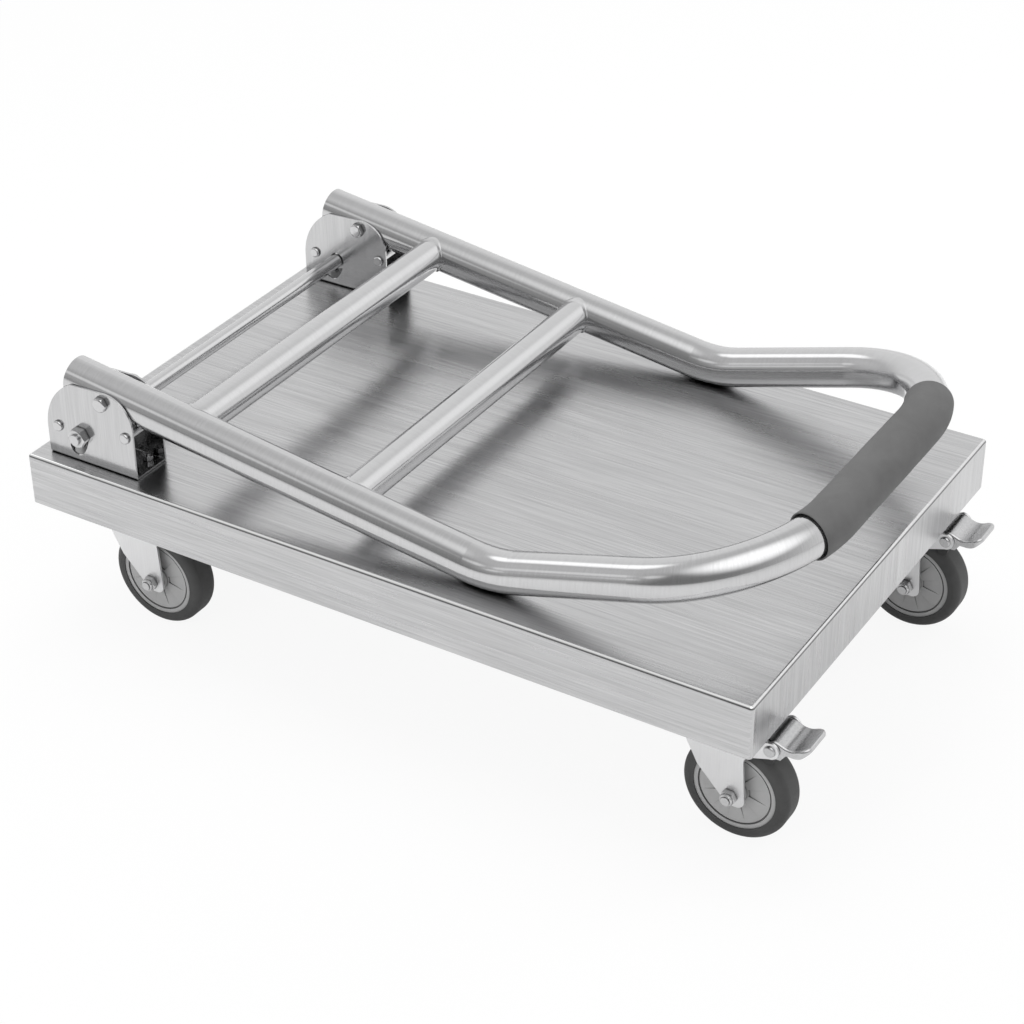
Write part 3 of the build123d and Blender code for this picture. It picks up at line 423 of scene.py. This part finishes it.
# The fastener's dark corner colour paints shade where it sits on another piece
fastenerValues = {**turnedValues, "dark": (0.58, 0.58, 0.585), "light": (0.68, 0.68, 0.685),
                  "rough": 0.08, "roughSpread": 0.03, "cloudScale": 120.0,
                  "fineness": 1500.0, "stretch": 0.8, "bump": 0.03, "softEdge": 0.0003,
                  "contact": 0.0034, "closed": 0.34, "open": 0.90, "cornerShade": (0.05, 0.05, 0.05)}
pedalValues = {**turnedValues, "dark": (0.52, 0.52, 0.525), "light": (0.60, 0.60, 0.605),
               "rough": 0.26, "roughSpread": 0.03, "cloudScale": 60.0,
               "fineness": 700.0, "stretch": 0.6, "bump": 0.03}
springValues = {**turnedValues, "dark": (0.36, 0.36, 0.365), "light": (0.52, 0.52, 0.525),
                "rough": 0.22, "roughSpread": 0.04, "cloudScale": 90.0,
                "fineness": 900.0, "stretch": 0.6, "bump": 0.03}


def mouldedStuff(name, v):
    # Rubber, foam and plastic: a fine skin with a little unevenness in colour and sheen
    material, tree, shader = newMaterial(name)
    place = put(tree, "TexCoord").outputs
    marks = useGroup(tree, handlingGroup, {"Vector": place["Object"], "Scale": v["cloudScale"]})
    skin = noise(tree, place["Object"], v["detail"], v["uneven"], v["fineness"])
    colour = mixed(tree, "RGBA", marks["Marks"], v["dark"], v["light"])
    bump = put(tree, "Bump", {"Strength": v["bump"], "Distance": v["grainHeight"], "Height": skin})
    tree.links.new(paintCornerShade(tree, colour, v), shader.inputs["Base Color"])
    tree.links.new(roughened(tree, skin, v, noiseSpan), shader.inputs["Roughness"])
    tree.links.new(bump.outputs["Normal"], shader.inputs["Normal"])
    shader.inputs["Specular IOR Level"].default_value = v["shine"]
    return material


mouldedValues = {"detail": 4.0, "uneven": 0.7, "grainHeight": 0.0002, "shine": 0.4}
gripValues = {**mouldedValues, "dark": (0.135, 0.135, 0.135), "light": (0.165, 0.165, 0.165),
              "rough": 0.80, "roughSpread": 0.08, "cloudScale": 30.0, "fineness": 1400.0,
              "bump": 0.35, "grainHeight": 0.0003, "shine": 0.25}
tyreValues = {**mouldedValues, "dark": (0.054, 0.054, 0.054), "light": (0.072, 0.072, 0.072),
              "rough": 0.55, "roughSpread": 0.08, "cloudScale": 40.0, "fineness": 900.0, "bump": 0.2}
# The core's dark corner colour paints shade in its groove and beside the fork
coreValues = {**mouldedValues, "dark": (0.42, 0.42, 0.42), "light": (0.48, 0.48, 0.48),
              "rough": 0.45, "roughSpread": 0.06, "cloudScale": 35.0, "fineness": 1200.0,
              "bump": 0.12,
              "contact": 0.0022, "closed": 0.30, "open": 0.90, "cornerShade": (0.08, 0.08, 0.08)}
bushValues = {**mouldedValues, "dark": (0.16, 0.16, 0.16), "light": (0.20, 0.20, 0.20),
              "rough": 0.5, "roughSpread": 0.05, "cloudScale": 60.0, "fineness": 1200.0, "bump": 0.1}
shoeValues = {**mouldedValues, "dark": (0.035, 0.035, 0.035), "light": (0.05, 0.05, 0.05),
              "rough": 0.6, "roughSpread": 0.08, "cloudScale": 60.0, "fineness": 900.0,
              "bump": 0.2, "shine": 0.3}


# One material for each slot in the record
materials = {
    "deck_steel": brushedSteel("brushedDeck", deckValues),
    "bracket_steel": brushedSteel("brushedArm", bracketValues, upright=True),
    "caster_steel": brushedSteel("pressedCaster", forkValues, upright=True),
    "tube_steel": turnedSteel("satinTube", tubeValues, runs="handle"),
    "fastener_steel": turnedSteel("brightFastener", fastenerValues),
    "pedal_steel": turnedSteel("polishedPedal", pedalValues),
    "spring_steel": turnedSteel("drawnWire", springValues),
    "grip_foam": mouldedStuff("foamGrip", gripValues),
    "tyre_rubber": mouldedStuff("greyTyre", tyreValues),
    "core_plastic": mouldedStuff("mouldedCore", coreValues),
    "sleeve_plastic": mouldedStuff("mouldedBush", bushValues),
    "shoe_rubber": mouldedStuff("brakeShoe", shoeValues),
}
# Nodes whose grain or painted inner shade differs from the rest of their slot
crossTube = turnedSteel("satinCrossTube", tubeValues, runs="Y")
innerShadedBracket = brushedSteel("brushedBracket", innerShadedValues, upright=True)
special = {"lower_rung": crossTube, "upper_rung": crossTube, "lock_bar": crossTube,
           "hinge_bracket_front": innerShadedBracket, "hinge_bracket_rear": innerShadedBracket}
print("materials made,", len({*materials.values(), *special.values()}))


def dressNodes():
    # Every node takes the material of the slot that the record gives it
    slots = {entry["node"]: entry["material_slot"] for entry in frame["record"]["subparts"]}
    for name, piece in nodes.items():
        piece.data.materials.clear()
        piece.data.materials.append(special.get(name, materials[slots[name]]))
    print("nodes dressed")


def smoothShaded(name, mesh):
    # Puts a finished mesh into the scene with soft shading
    for face in mesh.polygons:
        face.use_smooth = True
    return placed(name, mesh)


def tubeMesh(name, line, radii, around, closed=False):
    # Skins rings of points along a line. Each line entry is a place with its heading
    build = bmesh.new()
    rings = []
    side = Vector((0, 1, 0)).cross(line[0][1])
    if side.length < 0.1:
        side = Vector((1, 0, 0)).cross(line[0][1])        # the line starts along Y
    side.normalize()
    for (place, heading), radius in zip(line, radii):
        side = (side - heading * side.dot(heading)).normalized()
        other = heading.cross(side)
        ring = []
        for index in range(around):
            turn = 2 * pi * index / around
            ring.append(build.verts.new(place + (side * cos(turn) + other * sin(turn)) * radius))
        rings.append(ring)
    if closed:
        rings.append(rings[0])
    for first, second in zip(rings, rings[1:]):
        for index in range(around):
            after = (index + 1) % around
            build.faces.new((first[index], first[after], second[after], second[index]))
    if not closed:
        build.faces.new(rings[0][::-1])
        build.faces.new(rings[-1])
    bmesh.ops.recalc_face_normals(build, faces=build.faces)
    mesh = bpy.data.meshes.new(name)
    build.to_mesh(mesh)
    build.free()
    return mesh


# Foam grip, slid over the crossbar and a little way round both corners of the handle
grip = {"radius": 0.0219, "cadRadius": 0.022, "bore": 0.01906, "length": 0.250, "shift": 0.005,
        "endRound": 0.0008, "endSteps": 4, "around": 120, "stations": 150,
        "swell": 0.00012, "longWaves": 41, "shortWaves": 97, "waveShift": 1,
        "mouth": 0.0208, "mouthDepth": 0.007}


def gripLine(along):
    # Place and heading at a distance along the crossbar's centreline from its middle
    low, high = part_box("handle_grip")
    bar = Vector((high[0] - grip["cadRadius"], 0, high[2] - grip["cadRadius"]))
    radius, slope = handleShape["cornerRadius"], radians(handleShape["slope"])
    straight = handleShape["legSide"] - radius
    past = abs(along) - straight
    if past <= 0:
        return bar + Vector((0, along, 0)), Vector((0, 1, 0))
    way = 1 if along > 0 else -1
    forward = Vector((cos(slope), 0, sin(slope)))
    turn = past / radius
    centre = bar + Vector((0, way * straight, 0)) - forward * radius
    place = centre + forward * radius * cos(turn)
    place += Vector((0, way * radius * sin(turn), 0))
    heading = Vector((0, cos(turn), 0)) - forward * way * sin(turn)
    return place, heading.normalized()


def makeGrip():
    # Out along the outside, round the end and back through the bore, as one closed skin
    start = grip["shift"] - grip["length"] / 2
    end = grip["shift"] + grip["length"] / 2
    count, corner, steps = grip["stations"], grip["endRound"], grip["endSteps"]
    flare = grip["mouth"] - grip["bore"]
    line, radii = [], []

    def roundEnd(edge, way, turns):
        for turn in turns:
            angle = turn * pi / (2 * steps)
            line.append(gripLine(edge - way * corner + way * corner * sin(angle)))
            radii.append(grip["radius"] - corner + corner * cos(angle))

    for index in range(count + 1):
        along = start + corner + (end - start - 2 * corner) * index / count
        waves = sin(grip["shortWaves"] * along) * sin(grip["longWaves"] * along + grip["waveShift"])
        line.append(gripLine(along))
        radii.append(grip["radius"] + grip["swell"] * waves)
    roundEnd(end, 1, range(1, steps + 1))
    for index in range(count + 1):
        along = (end - start) * index / count
        depth = min(along, end - start - along)
        line.append(gripLine(end - along))
        radii.append(grip["bore"] + flare * max(0, 1 - depth / grip["mouthDepth"]))
    roundEnd(start, -1, range(steps, 0, -1))
    piece = smoothShaded("foamGrip", tubeMesh("foamGrip", line, radii, grip["around"], closed=True))
    piece.data.materials.append(materials["grip_foam"])
    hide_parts("handle_grip")
    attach(piece, "handle")
    print("grip made")


# Torsion springs on the spring pins: the lower leg stands on the bracket, the upper one lifts the
# bar. Pin and bar are given from the hinge end and the deck's top
spring = {"wire": 0.001, "coil": 0.0053, "pitch": 0.003, "turns": 3, "startSide": 0.008,
          "lowerSlope": -53.0, "upperLeg": 0.031, "legSteps": 4,
          "pin": (0.0295, 0.0320), "bar": (0.0560, 0.0293), "barRadius": 0.007,
          "gap": 0.0003, "base": 0.002, "stepsPerTurn": 40, "around": 18,
          "bendFrom": 0.0075, "bendTo": 0.0035}


def springLine(side):
    hingeEnd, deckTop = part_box("deck_pan")[0][0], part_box("deck_pan")[1][2]
    pin = Vector((hingeEnd + spring["pin"][0], side, deckTop + spring["pin"][1]))
    reach = Vector((spring["bar"][0] - spring["pin"][0], spring["bar"][1] - spring["pin"][1]))
    barUp = degrees(atan2(reach.y, reach.x))
    coil, wire, gap = spring["coil"], spring["wire"], spring["gap"]
    underBar = spring["barRadius"] + wire + gap - coil
    upperSlope = barUp - degrees(asin(underBar / reach.length))
    start = radians(90 + spring["lowerSlope"])
    whole = radians(upperSlope - spring["lowerSlope"] - 180) + 2 * pi * (spring["turns"] + 1)
    rise = spring["pitch"] / (2 * pi)

    def at(turn):
        angle = start + turn
        sideways = rise * turn - spring["startSide"]
        place = pin + Vector((coil * cos(angle), sideways, coil * sin(angle)))
        return place, Vector((-coil * sin(angle), rise, coil * cos(angle))).normalized()

    first, heading = at(0)
    legSteps = spring["legSteps"]
    lowerLeg = (first.z - deckTop - spring["base"] - wire - gap) / heading.z
    line = [(first - heading * lowerLeg * (step / legSteps), heading)
            for step in range(legSteps, 0, -1)]
    steps = round(spring["stepsPerTurn"] * whole / (2 * pi))
    line += [at(whole * index / steps) for index in range(steps + 1)]
    last, heading = at(whole)
    line += [(last + heading * spring["upperLeg"] * (step / legSteps), heading)
             for step in range(1, legSteps + 1)]
    return pin, line


def makeSprings():
    for end, way in (("front", -1), ("rear", 1)):
        side = way * handleShape["legSide"]
        pin, line = springLine(side)
        name = "torsionSpring" + end.capitalize()
        mesh = tubeMesh(name, line, [spring["wire"]] * len(line), spring["around"])
        piece = smoothShaded(name, mesh)
        piece.data.materials.append(materials["spring_steel"])
        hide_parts("lock_spring_" + end)
        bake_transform(piece)
    print("springs made")


# The room that only the metal sees. Its walls go from the camera's side, at 0, to the rear, at 1
roomTones = {"walls": [(0.0, 0.22), (0.12, 0.28), (0.25, 0.42), (0.45, 0.62), (0.65, 0.88), (0.80, 0.95)],
             "ceiling": (0.69, 0.69, 0.69), "ceilingSpan": (0.62, 0.90)}
roomPanels = {
    "keySoftbox": {"azimuth": -42.0, "elevation": 63.0, "inner": 12.0, "outer": 44.0, "strength": 1.0},
    "leftSoftbox": {"azimuth": 174.0, "elevation": 44.0, "inner": 6.0, "outer": 12.5, "strength": 1.0},
    "rearGlow": {"azimuth": 56.0, "elevation": 38.0, "inner": 3.0, "outer": 24.0, "strength": 0.25},
    "frontStrip": {"azimuth": -121.0, "elevation": 33.0, "inner": 2.0, "outer": 9.0, "strength": 0.5},
    "lowStripLeft": {"azimuth": -139.0, "elevation": 25.0, "inner": 1.0, "outer": 7.0, "strength": 0.45},
    "lowStripRight": {"azimuth": -128.0, "elevation": 17.0, "inner": 1.0, "outer": 6.0, "strength": 0.45},
    "frontWall": {"azimuth": -142.0, "elevation": 20.0, "inner": 5.0, "outer": 36.0, "strength": 0.24},
}
# What lights the other materials, and what the camera sees past the floor
roomLight = {"soft": (0.62, 0.62, 0.62, 1), "seen": (1, 1, 1, 1)}


def makeRoom():
    world = bpy.data.worlds.new("studio")
    bpy.context.scene.world = world
    world.use_nodes = True
    tree = world.node_tree
    tree.nodes.clear()
    path = put(tree, "LightPath").outputs
    direction = put(tree, "TexCoord").outputs["Generated"]
    part = parted(tree, direction)
    walls = ramp(tree, mapped(tree, part["Y"], 0, 1, (-1, 1)), roomTones["walls"])
    upward = mapped(tree, part["Z"], 0, 1, roomTones["ceilingSpan"], soft=True)
    lit = mixed(tree, "RGBA", upward, walls, roomTones["ceiling"])
    for panel in roomPanels.values():
        across, rise = radians(panel["azimuth"]), radians(panel["elevation"])
        middle = (cos(rise) * cos(across), cos(rise) * sin(across), sin(rise))
        toward = put(tree, "VectorMath", {0: direction, 1: middle}, operation="DOT_PRODUCT")
        span = (cos(radians(panel["outer"])), cos(radians(panel["inner"])))
        mask = mapped(tree, toward.outputs["Value"], 0, panel["strength"], span, soft=True)
        lit = mixed(tree, "RGBA", 1.0, lit, mask, blend_type="ADD")
    shown, soft, white = [put(tree, "Background", {"Color": colour, "Strength": 1.0})
                          for colour in (lit, roomLight["soft"], roomLight["seen"])]
    glossy = put(tree, "MixShader", {0: path["Is Glossy Ray"], 1: soft.outputs["Background"],
                                     2: shown.outputs["Background"]})
    seen = put(tree, "MixShader", {0: path["Is Camera Ray"], 1: glossy.outputs["Shader"],
                                   2: white.outputs["Background"]})
    put(tree, "OutputWorld", {"Surface": seen.outputs["Shader"]})
    print("room made,", len(roomPanels), "panels")


# A glow takes the place of most of the paint for the camera, and of some of it in reflections, so
# that the floor looks about as white as the room and still keeps a faint shadow of the trolley
floorValues = {"size": 24.0, "paint": (0.92, 0.92, 0.92, 1), "glow": (1, 1, 1, 1),
               "seenGlow": 0.91, "reflectedGlow": 0.35}


def makeFloor():
    v = floorValues
    size = v["size"]
    mesh = bpy.data.meshes.new("floor")
    mesh.from_pydata([(-size, -size, 0), (size, -size, 0), (size, size, 0), (-size, size, 0)], [],
                     [(0, 1, 2, 3)])
    floor = placed("floor", mesh)
    material = bpy.data.materials.new("paleFloor")
    material.use_nodes = True
    tree = material.node_tree
    tree.nodes.clear()
    path = put(tree, "LightPath").outputs
    paint = put(tree, "BsdfDiffuse", {"Color": v["paint"]})
    glow = put(tree, "Emission", {"Color": v["glow"], "Strength": 1.0})
    either = maths(tree, "MAXIMUM", path["Is Glossy Ray"], path["Is Transmission Ray"])
    reflected = maths(tree, "MULTIPLY", either, v["reflectedGlow"])
    direct = maths(tree, "MULTIPLY", path["Is Camera Ray"], v["seenGlow"])
    share = maths(tree, "MAXIMUM", direct, reflected)
    both = put(tree, "MixShader", {0: share, 1: paint.outputs["BSDF"], 2: glow.outputs["Emission"]})
    put(tree, "OutputMaterial", {"Surface": both.outputs["Shader"]})
    mesh.materials.append(material)
    print("floor made")


lampValues = {
    "overheadSoftbox": {"place": (-0.5, 0.3, 2.6), "aim": (0, 0, 0.15), "size": (2.2, 1.6), "power": 34.0},
    "sideSoftbox": {"place": (1.5, 2.0, 1.5), "aim": (0, 0, 0.2), "size": (0.9, 0.9), "power": 14.0},
    "frontSoftbox": {"place": (-0.8, -2.4, 1.6), "aim": (0, 0, 0.2), "size": (1.6, 0.3), "power": 10.0},
}


def makeLamps():
    for name, v in lampValues.items():
        data = bpy.data.lights.new(name, "AREA")
        data.shape = "RECTANGLE"
        data.size, data.size_y = v["size"]
        data.energy = v["power"]
        lamp = placed(name, data)
        lamp.location = v["place"]
        lamp.visible_glossy = False
        aim = Vector(v["aim"]) - Vector(v["place"])
        lamp.rotation_euler = aim.to_track_quat("-Z", "Y").to_euler()
    print("lamps made,", len(lampValues))


makeCamera()
dressNodes()
makeGrip()
makeSprings()
makeRoom()
makeFloor()
makeLamps()
bpy.context.scene.view_settings.view_transform = "Standard"
